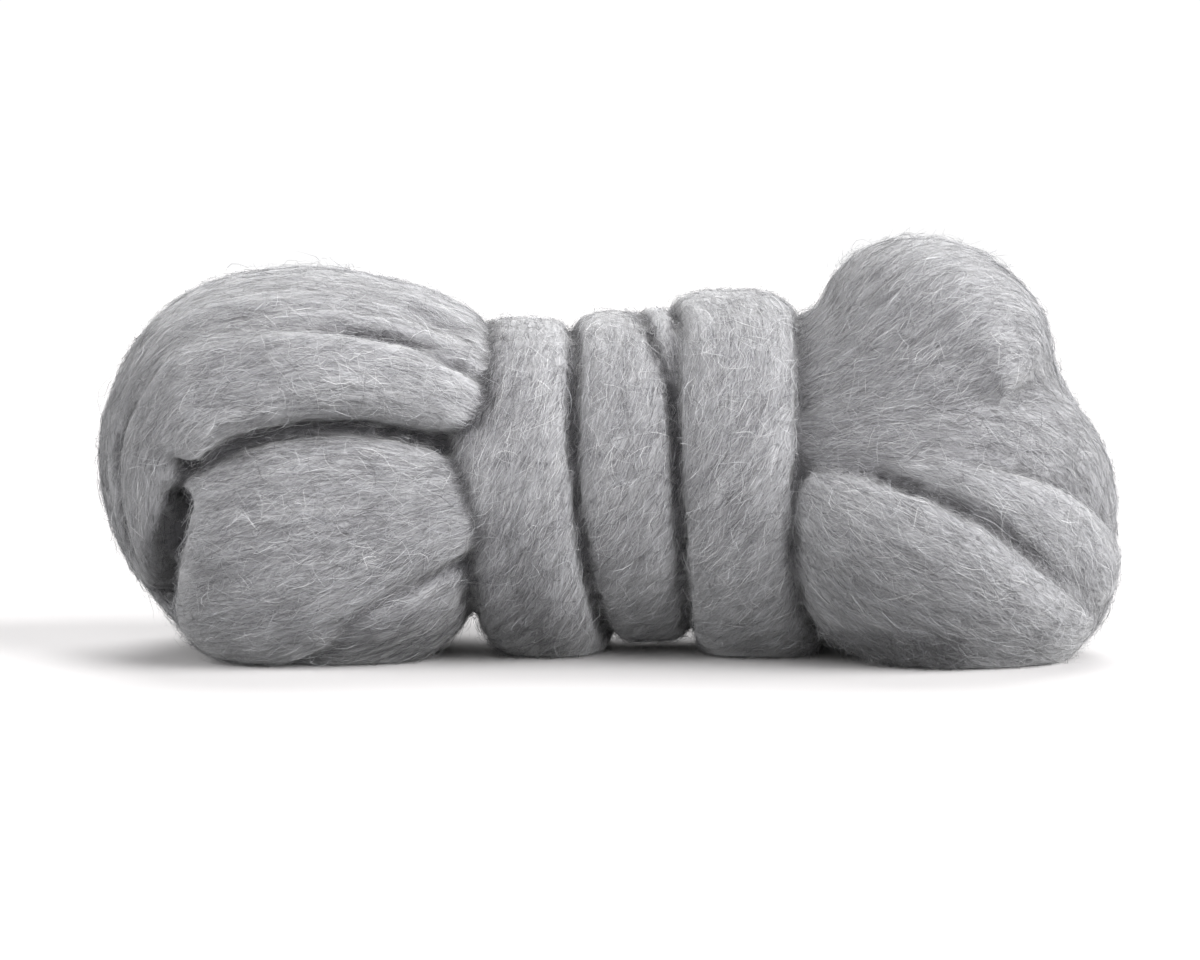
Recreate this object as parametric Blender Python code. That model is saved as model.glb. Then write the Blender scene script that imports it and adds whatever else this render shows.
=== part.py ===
"""A hank of wool roving, lying on its side.

One long, soft, untwisted rope of combed wool is folded back and forth into loops. The last part of
the rope is wound round the middle of the bundle in turns and holds it together, and the loops swell
out into a bulb at each end.

The rope is modelled as the stretches of it that reach the surface. Each stretch is a flattened round
bar drawn along a row of sections. The stretches press into each other and are fused into one solid,
and the floor flattens the solid where it lies.

Frame: +X along the hank, -Y towards the front, +Z up. The origin is on the floor, under the middle.
The tables are in millimetres, and MM turns them into Blender's metres.
"""

import math
from collections import namedtuple

import bmesh
import bpy
from mathutils import Vector

MM = 0.001

# Driving dimensions of the hank, in millimetres.
MIDDLE_HEIGHT = 41.0  # of the bundle's axis over the floor
TURNS_DEEPER = 0.96  # the turns reach this much further to the front and back than up and down

# Fineness of the solid.
STEPS_BETWEEN_ROWS = 8
POINTS_ROUND = 40
FUSE_CELL = 1.2
SOLID_TRIANGLES = 11000
SQUARENESS = 3.0  # exponent of the rope's section: 2 is an ellipse
TINY = 0.001

# A section of a stretch: its middle, its width over the bundle's skin, and its thickness.
Section = namedtuple("Section", "x y z wide thick")

# A lengthwise furrow: where it lies over the width, from -1 to 1, how much further over its two ends
# lie, where it starts and ends along the stretch, from 0 to 1, its depth, and its width.
Furrow = namedtuple("Furrow", "across bow start end deep wide")

# A stretch of the rope: the point that its outer face looks away from, the radius that its width is
# curled to, its sections and its furrows.
Stretch = namedtuple("Stretch", "hub curl sections furrows")

LEFT_HUB = (-70.0, 0.0, 42.0)
LEFT_INNER_HUB = (-68.0, 4.0, 28.0)
RIGHT_HUB = (72.0, 0.0, 44.0)
AXIS_HUB = None  # the bundle's axis, beside each section
FLAT = 400.0  # a curl so wide that the rope's faces stay flat

STRETCHES = {
    "core": Stretch(
        AXIS_HUB,
        FLAT,
        [
            Section(-94, 0, 32, 22, 20),
            Section(-80, 4, 38, 48, 46),
            Section(-60, 4, 42, 56, 54),
            Section(-38, 0, 42, 52, 50),
            Section(-26, 0, 40, 50, 50),
            Section(0, 0, 41, 54, 54),
            Section(36, 0, 41, 56, 56),
            Section(60, 2, 44, 56, 56),
            Section(82, 4, 42, 54, 52),
            Section(98, 2, 36, 26, 28),
        ],
        [],
    ),
    "left_outer_loop": Stretch(
        LEFT_HUB,
        46.0,
        [
            Section(-20, -13, 56, 36, 18),
            Section(-36, -16, 66, 42, 22),
            Section(-52, -18, 71.5, 46, 23),
            Section(-72, -18, 73.5, 52, 23),
            Section(-93, -15, 69, 58, 22),
            Section(-105, -12.5, 55, 54, 18),
            Section(-108, -12.5, 39, 40, 14),
            Section(-104.5, -8, 24, 28, 12),
            Section(-93, 0, 10, 28, 13),
            Section(-76, 2, 9, 30, 18),
        ],
        [
            Furrow(0.14, -0.2, 0.1, 0.75, 2.0, 4.5),
            Furrow(-0.27, -0.25, 0.03, 0.78, 3.0, 4.5),
        ],
    ),
    "left_inner_lobe": Stretch(
        LEFT_INNER_HUB,
        38.0,
        [
            Section(-24, -27, 36, 18, 14),
            Section(-38, -30, 36, 26, 19),
            Section(-54, -31, 33, 42, 23),
            Section(-70, -31, 29, 49, 26),
            Section(-84, -28, 25, 48, 25),
            Section(-92.5, -21, 21.5, 42, 20),
            Section(-91, -6, 22, 36, 18),
            Section(-80, 8, 30, 32, 18),
        ],
        [],
    ),
    "left_under_strand": Stretch(
        LEFT_HUB,
        60.0,
        [
            Section(-22, -20, 28, 18, 14),
            Section(-34, -23, 23, 20, 18),
            Section(-45, -24, 14.5, 28, 20),
            Section(-61, -22, 9, 32, 20),
            Section(-78, -15, 8, 34, 18),
            Section(-90, -5, 10, 30, 18),
        ],
        [],
    ),
    "left_back_loop": Stretch(
        LEFT_HUB,
        46.0,
        [
            Section(-20, 15, 52, 38, 18),
            Section(-36, 21, 58, 46, 22),
            Section(-52, 26, 61, 54, 24),
            Section(-72, 28, 60, 60, 24),
            Section(-93, 21, 52, 58, 22),
            Section(-102.5, 13, 38, 52, 20),
            Section(-98, 11, 21, 44, 18),
            Section(-78, 12, 13, 40, 18),
        ],
        [Furrow(-0.25, 0.0, 0.05, 0.8, 2.0, 9.0)],
    ),
    "left_back_lobe": Stretch(
        LEFT_HUB,
        44.0,
        [
            Section(-22, 26, 34, 30, 18),
            Section(-36, 29, 31, 32, 20),
            Section(-52, 31, 22, 38, 22),
            Section(-70, 30, 17, 42, 24),
            Section(-86, 23, 16, 38, 22),
            Section(-92, 14, 19, 30, 20),
        ],
        [],
    ),
    "right_upper_loop": Stretch(
        RIGHT_HUB,
        42.0,
        [
            Section(34, -15, 54, 26, 14),
            Section(47, -19, 60, 38, 20),
            Section(61, -21, 69, 50, 23),
            Section(75, -18, 80, 60, 26),
            Section(87, -11, 76, 52, 26),
            Section(91, -6, 64, 38, 24),
            Section(87, -2, 50, 30, 22),
        ],
        [
            Furrow(0.3, 0.0, 0.1, 0.75, 0.6, 5.0),
            Furrow(-0.1, 0.0, 0.1, 0.75, 0.6, 5.0),
            Furrow(-0.5, 0.0, 0.1, 0.75, 0.6, 5.0),
        ],
    ),
    "right_middle_lobe": Stretch(
        RIGHT_HUB,
        46.0,
        [
            Section(36, -20, 51, 12, 12),
            Section(52, -28, 55, 25, 16),
            Section(70, -29, 61, 36, 18),
            Section(84, -24.5, 64, 40, 18),
            Section(93, -17, 62.5, 36, 18),
            Section(97, -8, 58, 30, 17),
        ],
        [],
    ),
    "right_outer_loop": Stretch(
        RIGHT_HUB,
        46.0,
        [
            Section(36, -20, 48, 12, 12),
            Section(54, -31, 50, 20, 18),
            Section(73, -33, 51, 26, 22),
            Section(88, -28, 48, 34, 23),
            Section(97, -20, 40, 44, 24),
            Section(102, -15, 27, 50, 24),
            Section(101, -14, 13, 46, 24),
            Section(84, -6, 12, 40, 20),
        ],
        [],
    ),
    "right_inner_band": Stretch(
        RIGHT_HUB,
        40.0,
        [
            Section(40, -24, 47, 8, 10),
            Section(56, -34, 47.5, 9, 13),
            Section(71, -38, 44.5, 10, 15),
            Section(85, -37, 40, 12.5, 17),
            Section(96, -31, 32.5, 18, 18),
            Section(102.5, -21, 22, 26, 20),
            Section(100, -14, 11, 34, 20),
        ],
        [],
    ),
    "right_lower_lobe": Stretch(
        RIGHT_HUB,
        40.0,
        [
            Section(38, -22, 38, 20, 12),
            Section(48, -30, 30, 37, 20),
            Section(60, -33.5, 23.5, 42, 23),
            Section(73, -33.5, 18.5, 41, 24),
            Section(88, -28, 14, 36, 24),
            Section(97.5, -17, 11.5, 32, 22),
            Section(95, -6, 12, 32, 20),
        ],
        [],
    ),
    "right_back_loop": Stretch(
        RIGHT_HUB,
        48.0,
        [
            Section(32, 16, 53, 32, 18),
            Section(50, 23, 59, 44, 22),
            Section(71, 28, 62, 56, 24),
            Section(88, 22, 54, 56, 24),
            Section(97, 11, 40, 52, 24),
            Section(100, 8, 24, 48, 22),
            Section(88, 10, 13, 40, 20),
        ],
        [Furrow(-0.2, 0.0, 0.05, 0.8, 2.0, 9.0)],
    ),
    "right_back_lobe": Stretch(
        RIGHT_HUB,
        44.0,
        [
            Section(36, 24, 32, 24, 16),
            Section(54, 30, 25, 36, 20),
            Section(76, 32, 18, 42, 24),
            Section(94, 22, 15, 38, 22),
            Section(100, 8, 16, 34, 20),
        ],
        [],
    ),
    "sliver_between_turns": Stretch(
        AXIS_HUB,
        FLAT,
        [
            Section(9, 6, 74, 5, 8),
            Section(12, -6, 76, 6, 8),
            Section(14, -18, 72, 5, 7),
            Section(16, -27, 63, 4, 5),
        ],
        [],
    ),
}

# The turns round the middle: a row for each quarter of a turn, from the top towards the front.
# x is along the hank, height is that of the turn's middle over the floor, and reach is from there
# to the middle of the rope.
Quarter = namedtuple("Quarter", "x height reach wide thick")
TURNS = [
    Quarter(-27.0, 39.0, 26.0, 23.2, 16.0),
    Quarter(-20.3, 38.5, 29.0, 28.4, 20.0),
    Quarter(-20.7, 38.5, 29.5, 29.6, 21.0),
    Quarter(-11.8, 38.5, 30.5, 25.8, 20.0),
    Quarter(-4.5, 40.0, 29.5, 25.4, 20.0),
    Quarter(3.5, 41.0, 28.5, 22.7, 19.0),
    Quarter(5.0, 41.0, 29.5, 24.6, 20.0),
    Quarter(10.8, 41.0, 28.5, 22.7, 19.0),
    Quarter(20.0, 41.5, 30.0, 25.4, 20.0),
    Quarter(29.2, 42.0, 31.5, 29.2, 21.0),
    Quarter(30.0, 42.0, 31.5, 27.4, 22.0),
    Quarter(36.4, 42.0, 33.5, 29.7, 21.0),
    Quarter(43.0, 42.0, 29.0, 25.2, 20.0),
    Quarter(41.0, 42.0, 22.0, 19.2, 14.0),
]
FIRST_QUARTER = -1  # the first row's place, counted in quarters from the top


def between(a, b, c, d, t):
    """The value at share t from b to c, on a smooth curve through a, b, c and d."""
    bend = a - 2.5 * b + 2 * c - 0.5 * d
    twist = 0.5 * (3 * (b - c) + d - a)
    return b + t * (0.5 * (c - a) + t * (bend + t * twist))


def rounded(rows):
    """More rows, on a smooth curve through the given ones."""
    kind = type(rows[0])
    first = kind(*(2 * a - b for a, b in zip(rows[0], rows[1])))
    last = kind(*(2 * a - b for a, b in zip(rows[-1], rows[-2])))
    known = [first, *rows, last]
    made = []
    for four in zip(known, known[1:], known[2:], known[3:]):
        for step in range(STEPS_BETWEEN_ROWS):
            t = step / STEPS_BETWEEN_ROWS
            made.append(kind(*(between(*values, t) for values in zip(*four))))
    return made + [rows[-1]]


def wound_sections():
    """The sections of the rope's end, wound round the middle."""
    made = []
    for i, row in enumerate(rounded(TURNS)):
        turned = (FIRST_QUARTER + i / STEPS_BETWEEN_ROWS) * math.pi / 2
        y = -row.reach * TURNS_DEEPER * math.sin(turned)
        z = row.height + row.reach * math.cos(turned)
        made.append(Section(row.x, y, z, row.wide, row.thick))
    return made


def furrowed(furrows, across, along, wide):
    """How deep the furrows are at this place of the outer face."""
    deep = 0.0
    for furrow in furrows:
        if furrow.start < along < furrow.end:
            share = (along - furrow.start) / (furrow.end - furrow.start)
            over = furrow.across + furrow.bow * (2 * share - 1) ** 2
            away = (across - over) * wide / furrow.wide
            deep += furrow.deep * math.sqrt(math.sin(math.pi * share)) * math.exp(-away * away)
    return deep


def ring(section, along, tangent, stretch):
    """The points round one section."""
    middle = Vector(section[:3])
    hub = Vector(stretch.hub) if stretch.hub else Vector((section.x, 0.0, MIDDLE_HEIGHT))
    outward = middle - hub
    outward -= tangent * outward.dot(tangent)
    if outward.length < TINY:
        outward = Vector((0.0, 0.0, 1.0))
    outward.normalize()
    sideways = tangent.cross(outward)
    points = []
    for i in range(POINTS_ROUND):
        angle = 2 * math.pi * i / POINTS_ROUND
        flat, high = math.cos(angle), math.sin(angle)
        flat = math.copysign(abs(flat) ** (2 / SQUARENESS), flat)
        high = math.copysign(abs(high) ** (2 / SQUARENESS), high)
        lift = high * section.thick / 2
        if high > 0:
            lift -= high * furrowed(stretch.furrows, flat, along, section.wide)
        bend = flat * section.wide / 2 / stretch.curl
        reach = stretch.curl + lift
        rise = reach * math.cos(bend) - stretch.curl
        points.append(middle + outward * rise + sideways * reach * math.sin(bend))
    return points


def add_bar(bm, sections, stretch):
    """Adds the closed bar that these sections describe."""
    rings = []
    for i, section in enumerate(sections):
        before, after = sections[max(i - 1, 0)], sections[min(i + 1, len(sections) - 1)]
        tangent = (Vector(after[:3]) - Vector(before[:3])).normalized()
        along = i / (len(sections) - 1)
        rings.append([bm.verts.new(p * MM) for p in ring(section, along, tangent, stretch)])
    for first, second in zip(rings, rings[1:]):
        for i in range(POINTS_ROUND):
            j = (i + 1) % POINTS_ROUND
            bm.faces.new((first[i], first[j], second[j], second[i]))
    bm.faces.new(rings[0][::-1])
    bm.faces.new(rings[-1])


def wool():
    """The wool's material: mid grey, dull and soft."""
    material = bpy.data.materials.new("grey_wool")
    material.use_nodes = True
    shader = material.node_tree.nodes["Principled BSDF"]
    shader.inputs["Base Color"].default_value = (0.30, 0.30, 0.31, 1.0)
    shader.inputs["Roughness"].default_value = 0.9
    shader.inputs["Metallic"].default_value = 0.0
    return material


def floor_cutter():
    """A block below the floor, which takes off what the hank's weight flattens."""
    bm = bmesh.new()
    bmesh.ops.create_cube(bm, size=1.0)
    mesh = bpy.data.meshes.new("floor_cutter")
    bm.to_mesh(mesh)
    bm.free()
    cutter = bpy.data.objects.new("floor_cutter", mesh)
    cutter.location.z = -0.5
    cutter.hide_render = True
    cutter.display_type = "WIRE"
    bpy.context.scene.collection.objects.link(cutter)
    return cutter


def fused_hank():
    """The whole hank as one object, with the modifiers that fuse it into one solid."""
    bm = bmesh.new()
    for stretch in STRETCHES.values():
        add_bar(bm, rounded(stretch.sections), stretch)
    add_bar(bm, wound_sections(), Stretch(AXIS_HUB, FLAT, [], []))
    bmesh.ops.recalc_face_normals(bm, faces=bm.faces)
    mesh = bpy.data.meshes.new("roving_hank")
    bm.to_mesh(mesh)
    bm.free()
    hank = bpy.data.objects.new("roving_hank", mesh)
    hank.data.materials.append(wool())
    bpy.context.scene.collection.objects.link(hank)

    fuse = hank.modifiers.new("fuse", "REMESH")
    fuse.mode = "VOXEL"
    fuse.voxel_size = FUSE_CELL * MM
    soften = hank.modifiers.new("soften", "SMOOTH")
    soften.factor = 0.5
    soften.iterations = 2
    return hank


def main():
    for old in list(bpy.data.objects):
        bpy.data.objects.remove(old)
    hank = fused_hank()
    # The fused skin is thinned to the triangles that the solid may have, and then laid on the floor.
    graph = bpy.context.evaluated_depsgraph_get()
    quads = len(hank.evaluated_get(graph).to_mesh().polygons)
    thin = hank.modifiers.new("thin", "DECIMATE")
    thin.ratio = min(1.0, SOLID_TRIANGLES / (2 * quads))
    lie = hank.modifiers.new("lie_on_floor", "BOOLEAN")
    lie.operation = "DIFFERENCE"
    lie.object = floor_cutter()
    hank.data.shade_smooth()


main()
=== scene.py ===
"""The looks of a hank of grey wool roving.

The stretches of the hank's rope are drawn again from the part's own numbers, a few of them moved a
little for the look, and fused into its body. Combed fibres are then laid on the body in layers,
along the rope, and loose ones stand off it. Lengths are in millimetres until a mesh is made. +X is
along the hank, -Y its front and +Z up.
"""

import math
from collections import namedtuple

import bpy
import numpy as np
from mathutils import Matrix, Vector
from mathutils.bvhtree import BVHTree


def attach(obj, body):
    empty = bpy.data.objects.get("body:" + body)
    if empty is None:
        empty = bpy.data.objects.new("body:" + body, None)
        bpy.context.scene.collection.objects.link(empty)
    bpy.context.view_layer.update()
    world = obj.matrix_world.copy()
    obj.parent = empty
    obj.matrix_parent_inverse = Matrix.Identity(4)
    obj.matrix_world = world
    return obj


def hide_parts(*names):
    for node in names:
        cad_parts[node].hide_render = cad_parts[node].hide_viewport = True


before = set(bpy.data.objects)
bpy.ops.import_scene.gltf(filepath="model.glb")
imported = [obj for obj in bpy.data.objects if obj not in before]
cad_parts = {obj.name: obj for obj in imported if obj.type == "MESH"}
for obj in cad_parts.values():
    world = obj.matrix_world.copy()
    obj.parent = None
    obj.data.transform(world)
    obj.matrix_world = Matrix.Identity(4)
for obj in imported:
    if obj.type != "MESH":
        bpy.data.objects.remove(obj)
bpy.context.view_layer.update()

# ---- The body of the hank ----
# One long, untwisted rope of combed wool, folded back and forth into loops and then wound round
# the middle with its own end. Each stretch of it that reaches the surface is a flattened bar, and
# the bars press into each other until they are one soft body with creases where they meet.
MM = 0.001
MIDDLE_HEIGHT = 41.0  # of the bundle's axis over the floor
TURNS_DEEPER = 0.96  # the turns reach this much further to the front and back than up and down
STEPS_BETWEEN_ROWS = 12
POINTS_ROUND = 64
SQUARENESS = 3.0  # of the rope's section: 2 would be an ellipse
FUSE_CELL = 1.3  # of the voxel remesh
LYING = 0.25  # the lowest that any wool lies over the floor

# A section of a stretch: its middle, its width over the bundle's skin, and its thickness.
Section = namedtuple("Section", "x y z wide thick")
# A lengthwise furrow: where over the width, how much further over its ends lie, from where to
# where along, its depth, its width, and how early it runs out towards its ends.
Furrow = namedtuple("Furrow", "across bow start end deep wide pointed", defaults=[0.5])
# A stretch: the point its outer face looks away from, the radius it curls to, sections, furrows.
Stretch = namedtuple("Stretch", "hub curl sections furrows")

LEFT_HUB = (-70.0, 0.0, 42.0)
LEFT_INNER_HUB = (-68.0, 4.0, 28.0)
RIGHT_HUB = (72.0, 0.0, 44.0)
AXIS_HUB = None  # the bundle's axis, beside each section
FLAT = 400.0  # a curl so wide that the rope's faces stay flat

STRETCHES = {
    "core": Stretch(
        AXIS_HUB,
        FLAT,
        [
            Section(-94, 0, 32, 22, 20),
            Section(-80, 4, 38, 48, 46),
            Section(-60, 4, 42, 56, 54),
            Section(-38, 0, 42, 52, 50),
            Section(-26, 0, 40, 50, 50),
            Section(0, 0, 41, 54, 54),
            Section(36, 0, 41, 56, 56),
            Section(60, 2, 44, 56, 56),
            Section(82, 4, 42, 54, 52),
            Section(98, 2, 36, 26, 28),
        ],
        [],
    ),
    "left_outer_loop": Stretch(
        LEFT_HUB,
        46.0,
        [
            Section(-20, -13, 56, 36, 18),
            Section(-36, -16, 66, 42, 22),
            Section(-52, -18, 71.5, 46, 23),
            Section(-72, -18, 73.5, 52, 23),
            Section(-93, -15, 69, 58, 22),
            Section(-105, -12.5, 55, 54, 18),
            Section(-108, -12.5, 39, 40, 14),
            Section(-104.5, -8, 24, 28, 12),
            Section(-93, 0, 10, 28, 13),
            Section(-76, 2, 9, 30, 18),
        ],
        [
            Furrow(0.14, -0.2, 0.1, 0.75, 2.0, 4.5),
            Furrow(-0.27, -0.25, 0.03, 0.78, 3.4, 4.5, 0.9),
        ],
    ),
    "left_inner_lobe": Stretch(
        LEFT_INNER_HUB,
        38.0,
        [
            Section(-24, -27, 36, 18, 14),
            Section(-38, -30, 36, 26, 19),
            Section(-54, -31, 33, 42, 23),
            Section(-70, -31, 29, 49, 26),
            Section(-84, -28, 25, 48, 25),
            Section(-92.5, -21, 21.5, 42, 20),
            Section(-91, -6, 22, 36, 18),
            Section(-80, 8, 30, 32, 18),
        ],
        [],
    ),
    "left_under_strand": Stretch(
        LEFT_HUB,
        60.0,
        [
            Section(-22, -20, 28, 18, 14),
            Section(-34, -23, 23, 20, 18),
            Section(-45, -24, 14.5, 28, 20),
            Section(-61, -22, 9, 32, 20),
            Section(-78, -15, 8, 34, 18),
            Section(-90, -5, 10, 30, 18),
        ],
        [],
    ),
    "left_back_loop": Stretch(
        LEFT_HUB,
        46.0,
        [
            Section(-20, 15, 52, 38, 18),
            Section(-36, 21, 58, 46, 22),
            Section(-52, 26, 61, 54, 24),
            Section(-72, 28, 60, 60, 24),
            Section(-93, 21, 52, 58, 22),
            Section(-102.5, 13, 38, 52, 20),
            Section(-98, 11, 21, 44, 18),
            Section(-78, 12, 13, 40, 18),
        ],
        [Furrow(-0.25, 0.0, 0.05, 0.8, 2.0, 9.0)],
    ),
    "left_back_lobe": Stretch(
        LEFT_HUB,
        44.0,
        [
            Section(-12, 18, 36, 22, 12),
            Section(-36, 29, 31, 32, 20),
            Section(-52, 31, 22, 38, 22),
            Section(-70, 30, 17, 42, 24),
            Section(-86, 23, 16, 38, 22),
            Section(-92, 14, 19, 30, 20),
        ],
        [],
    ),
    "right_upper_loop": Stretch(
        RIGHT_HUB,
        42.0,
        [
            Section(34, -15, 54, 26, 14),
            Section(47, -19, 60, 38, 20),
            Section(61, -21, 69, 50, 23),
            Section(75, -18, 80, 60, 26),
            Section(87, -11, 76, 52, 26),
            Section(91, -6, 64, 38, 24),
            Section(87, -2, 50, 30, 22),
        ],
        [
            Furrow(0.3, 0.0, 0.1, 0.75, 0.6, 5.0),
            Furrow(-0.1, 0.0, 0.1, 0.75, 0.6, 5.0),
            Furrow(-0.5, 0.0, 0.1, 0.75, 0.6, 5.0),
        ],
    ),
    "right_middle_lobe": Stretch(
        RIGHT_HUB,
        46.0,
        [
            Section(36, -20, 51, 12, 12),
            Section(52, -28, 55, 25, 16),
            Section(70, -29, 61, 36, 18),
            Section(84, -24.5, 64, 40, 18),
            Section(93, -17, 62.5, 36, 18),
            Section(97, -8, 58, 30, 17),
        ],
        [],
    ),
    "right_outer_loop": Stretch(
        RIGHT_HUB,
        46.0,
        [
            Section(36, -20, 48, 12, 12),
            Section(54, -31, 50, 20, 18),
            Section(73, -33, 51, 26, 22),
            Section(88, -28, 48, 34, 23),
            Section(97, -20, 40, 44, 24),
            Section(102, -15, 27, 50, 24),
            Section(101, -14, 13, 46, 24),
            Section(84, -6, 12, 40, 20),
        ],
        [],
    ),
    "right_inner_band": Stretch(
        RIGHT_HUB,
        40.0,
        [
            Section(40, -24, 47, 8, 10),
            Section(56, -34, 47.5, 9, 13),
            Section(71, -38, 44.5, 10, 15),
            Section(85, -37, 38.5, 15.5, 17),
            Section(96, -31, 30, 23, 18),
            Section(102.5, -21, 18, 32, 20),
            Section(100, -14, 11, 34, 20),
        ],
        [],
    ),
    "right_lower_lobe": Stretch(
        RIGHT_HUB,
        40.0,
        [
            Section(38, -22, 38, 20, 12),
            Section(48, -30, 30, 37, 20),
            Section(60, -33.5, 23.5, 42, 23),
            Section(73, -33.5, 18.5, 41, 24),
            Section(87, -28, 12.5, 33.5, 24),
            Section(98, -18, 9, 26, 22),
            Section(96, -6, 10, 26, 20),
        ],
        [],
    ),
    "right_back_loop": Stretch(
        RIGHT_HUB,
        48.0,
        [
            Section(32, 16, 53, 32, 18),
            Section(50, 23, 59, 44, 22),
            Section(71, 28, 62, 56, 24),
            Section(88, 22, 54, 56, 24),
            Section(97, 11, 40, 52, 24),
            Section(100, 8, 24, 48, 22),
            Section(88, 10, 13, 40, 20),
        ],
        [Furrow(-0.2, 0.0, 0.05, 0.8, 2.0, 9.0)],
    ),
    "right_back_lobe": Stretch(
        RIGHT_HUB,
        44.0,
        [
            Section(36, 24, 32, 24, 16),
            Section(54, 30, 25, 36, 20),
            Section(76, 32, 18, 42, 24),
            Section(94, 22, 15, 38, 22),
            Section(100, 8, 16, 34, 20),
        ],
        [],
    ),
    "sliver_between_turns": Stretch(
        AXIS_HUB,
        FLAT,
        [
            Section(9, 6, 74, 5, 8),
            Section(12, -6, 76, 6, 8),
            Section(14, -18, 72, 5, 7),
            Section(16, -27, 63, 4, 5),
        ],
        [],
    ),
}

# The turns round the middle, a row for each quarter of a turn. lean is how far the fibres slant
# from the rope's own line there, in degrees.
Quarter = namedtuple("Quarter", "x height reach wide thick lean")
TURNS = [
    Quarter(-27.0, 39.0, 26.0, 23.2, 16.0, 10.0),
    Quarter(-20.3, 38.5, 29.0, 28.4, 20.0, -2.0),
    Quarter(-20.7, 38.5, 29.5, 29.6, 21.0, 26.0),
    Quarter(-11.8, 38.5, 30.5, 25.8, 20.0, 44.0),
    Quarter(-4.5, 40.0, 29.5, 25.4, 20.0, 15.0),
    Quarter(3.5, 41.0, 28.5, 22.7, 19.0, -10.0),
    Quarter(5.0, 41.0, 29.5, 24.6, 20.0, 32.0),
    Quarter(10.8, 41.0, 28.5, 22.7, 19.0, 44.0),
    Quarter(20.0, 41.5, 30.0, 25.4, 20.0, 15.0),
    Quarter(29.2, 42.0, 31.5, 29.2, 21.0, -20.0),
    Quarter(30.0, 42.0, 31.5, 27.4, 22.0, 36.0),
    Quarter(36.4, 42.0, 33.5, 29.7, 21.0, 44.0),
    Quarter(43.0, 42.0, 29.0, 25.2, 20.0, 15.0),
    Quarter(41.0, 42.0, 22.0, 19.2, 14.0, 0.0),
]
FIRST_QUARTER = -1  # the first row's place, counted in quarters from the top


def rounded(rows):
    """More rows, on a smooth curve through the given ones."""
    rows = np.array(rows, float)
    known = np.vstack([2 * rows[0] - rows[1], rows, 2 * rows[-1] - rows[-2]])
    a, b, c, d = (known[i : len(known) - 3 + i, None] for i in range(4))
    t = (np.arange(STEPS_BETWEEN_ROWS) / STEPS_BETWEEN_ROWS)[None, :, None]
    bend = a - 2.5 * b + 2 * c - 0.5 * d
    twist = 0.5 * (3 * (b - c) + d - a)
    curve = b + t * (0.5 * (c - a) + t * (bend + t * twist))
    return np.vstack([curve.reshape(-1, rows.shape[1]), rows[-1:]])


def wound_rows():
    """The rope's end, wound round the middle, as rows of a section and its lean."""
    x, height, reach, wide, thick, lean = rounded(TURNS).T
    turned = (FIRST_QUARTER + np.arange(len(x)) / STEPS_BETWEEN_ROWS) * math.pi / 2
    y = -reach * TURNS_DEEPER * np.sin(turned)
    z = height + reach * np.cos(turned)
    return np.column_stack([x, y, z, wide, thick, lean])


# A furrow is a soft hollow with a sharper line along its middle, both as shares of its depth.
FOLD_SOFT, FOLD_LINE = 0.35, 1.3
FOLD_LINE_WIDE = 0.42  # as a share of the furrow's width


def furrowed(furrows, across, along, wide):
    """How deep the furrows are, for each section and each point round it."""
    deep = np.zeros((len(along), len(across)))
    for furrow in furrows:
        share = np.clip((along - furrow.start) / (furrow.end - furrow.start), 0, 1)
        over = furrow.across + furrow.bow * (2 * share - 1) ** 2
        away = (across[None] - over[:, None]) * wide[:, None] / furrow.wide
        sharp = np.exp(-((away / FOLD_LINE_WIDE) ** 2))
        fold = FOLD_SOFT * np.exp(-away * away) + FOLD_LINE * sharp
        deep += furrow.deep * np.sin(math.pi * share)[:, None] ** furrow.pointed * fold
    return deep


def unit(vectors):
    return vectors / np.maximum(np.linalg.norm(vectors, axis=-1, keepdims=True), 1e-9)


def skin_of(stretch, rows):
    """The points of a stretch's skin, and the rope's direction and the fibre's place at each.

    The fibre's place is how far it is along the rope and which of the fibres it is.
    """
    middle, wide, thick, lean = rows[:, :3], rows[:, 3], rows[:, 4], np.radians(rows[:, 5])
    tangent = unit(np.gradient(middle, axis=0))
    hub = np.array(stretch.hub) if stretch.hub else middle * (1, 0, 0) + (0, 0, MIDDLE_HEIGHT)
    outward = middle - hub
    outward = outward - tangent * (outward * tangent).sum(1, keepdims=True)
    outward[np.linalg.norm(outward, axis=1) < 0.001] = (0, 0, 1)
    outward = unit(outward)
    sideways = np.cross(tangent, outward)
    # The ring starts on the inner side, which the other stretches hide.
    angle = 2 * math.pi * np.arange(POINTS_ROUND) / POINTS_ROUND - math.pi / 2
    flat = np.sign(np.cos(angle)) * np.abs(np.cos(angle)) ** (2 / SQUARENESS)
    high = np.sign(np.sin(angle)) * np.abs(np.sin(angle)) ** (2 / SQUARENESS)
    along = np.linspace(0, 1, len(rows))
    lift = high * thick[:, None] / 2
    lift -= np.maximum(high, 0) * furrowed(stretch.furrows, flat, along, wide)
    bend = flat * wide[:, None] / 2 / stretch.curl
    reach = stretch.curl + lift
    points = middle[:, None] + outward[:, None] * (reach * np.cos(bend) - stretch.curl)[..., None]
    points += sideways[:, None] * (reach * np.sin(bend))[..., None]
    run = np.concatenate([[0], np.cumsum(np.linalg.norm(np.diff(middle, axis=0), axis=1))])
    slid = np.concatenate([[0], np.cumsum(np.diff(run) * np.tan(lean[1:]))])
    which = flat * wide.mean() / 2 - slid[:, None]
    lay = np.stack(np.broadcast_arrays(run[:, None], which), axis=-1)
    return points, unit(np.gradient(points, axis=0)), lay


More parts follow.
